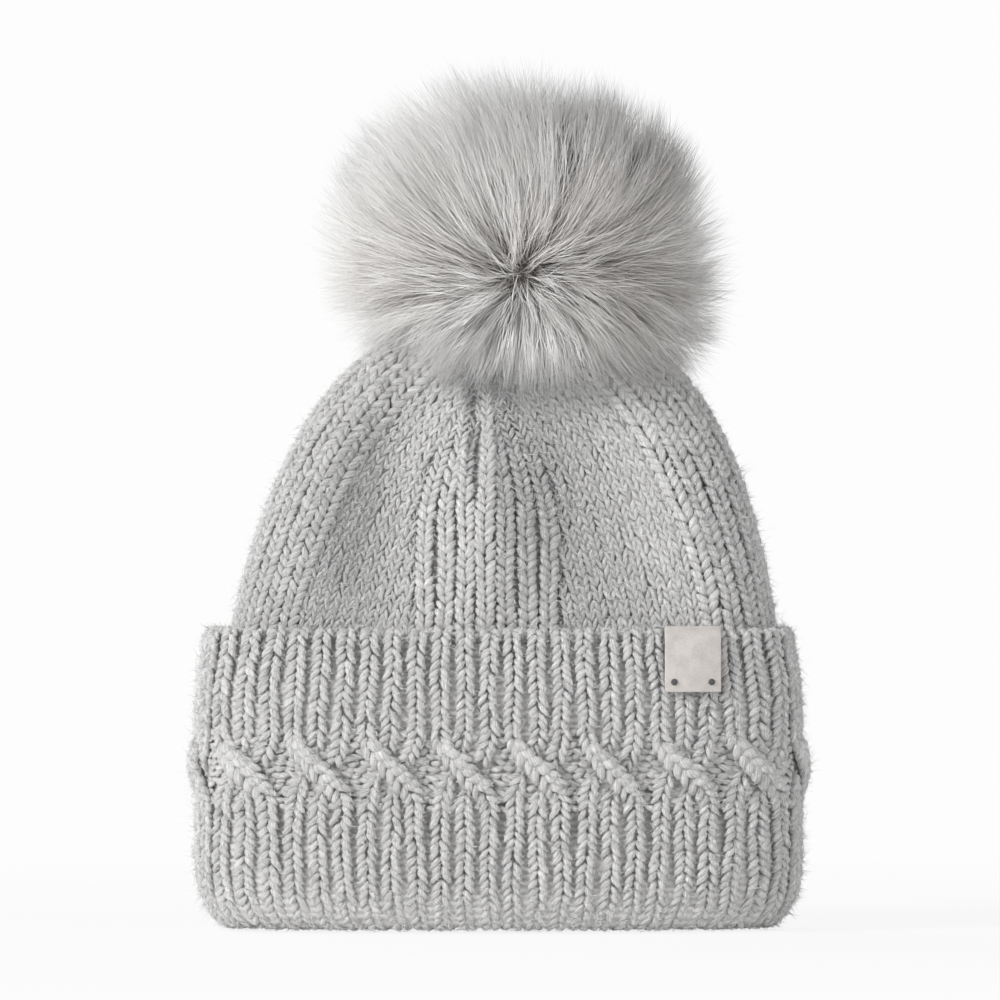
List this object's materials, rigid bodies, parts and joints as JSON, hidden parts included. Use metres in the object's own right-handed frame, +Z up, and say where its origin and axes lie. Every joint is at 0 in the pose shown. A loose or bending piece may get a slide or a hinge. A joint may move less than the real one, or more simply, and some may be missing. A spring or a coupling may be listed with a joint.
{
  "type": "pom pom beanie",
  "caption": "Knitted beanie with a turned-up cable-rib cuff, a sewn suede tag, and a detachable fur pom that turns and flops on a press stud.",
  "frame": {"origin": "middle of the cuff's foot, on the surface that the hat stands on", "axes": "+Z up through the crown to the pom, front of the hat towards -Y, sewn tag towards +X"},
  "size_m": [0.22, 0.12, 0.3081],
  "materials": {
    "wool_knit": "soft brushed wool yarn, pale grey",
    "suede": "napped suede, pale warm grey",
    "dark_thread": "dark sewing thread",
    "pale_thread": "pale sewing thread",
    "felt": "pressed felt",
    "steel": "pressed nickel-plated steel",
    "board": "stiff fibre board",
    "pelt": "pelt backing under the fur",
    "wadding": "loose polyester wadding",
    "fur": "long pale grey fur"
  },
  "bodies": {
    "hat": {"knit_crown": "wool_knit", "knit_cuff": "wool_knit", "crown_seam": "wool_knit", "cuff_seam": "wool_knit", "crown_gather_yarn": "wool_knit", "label_strap": "suede", "label_tack_left": "dark_thread", "label_tack_right": "dark_thread", "backing_patch": "felt", "snap_socket": "steel", "socket_stitch_1": "pale_thread", "socket_stitch_2": "pale_thread", "socket_stitch_3": "pale_thread", "socket_stitch_4": "pale_thread"},
    "spring_ring": {"socket_spring": "steel"},
    "snap_half": {"snap_stud": "steel", "stud_stitch_1": "pale_thread", "stud_stitch_2": "pale_thread", "stud_stitch_3": "pale_thread", "stud_stitch_4": "pale_thread"},
    "pom": {"pom_base_disc": "board", "pom_pelt": "pelt", "pom_gather_thread": "pale_thread", "pom_stuffing": "wadding", "pom_fur": "fur", "pom_fur_skirt": "fur"}
  },
  "joints": [
    {"name": "pom_swivel", "type": "hinge", "parent": "hat", "child": "spring_ring", "pos_m": [0.006, 0, 0.2193], "axis": [0, 0, 1], "continuous": true, "deforming": ["pom_fur_skirt"]},
    {"name": "pom_pull_off", "type": "slide", "parent": "spring_ring", "child": "snap_half", "axis": [0, 0, 1], "range_m": [0, 0.06]},
    {"name": "pom_flop", "type": "hinge", "parent": "snap_half", "child": "pom", "pos_m": [0.006, 0, 0.2236], "axis": [1, 0, 0], "range_deg": [-12, 12], "stiffness_Nm_per_rad": 0.2, "deforming": ["stud_stitch_1", "stud_stitch_2", "stud_stitch_3", "stud_stitch_4"]}
  ]
}
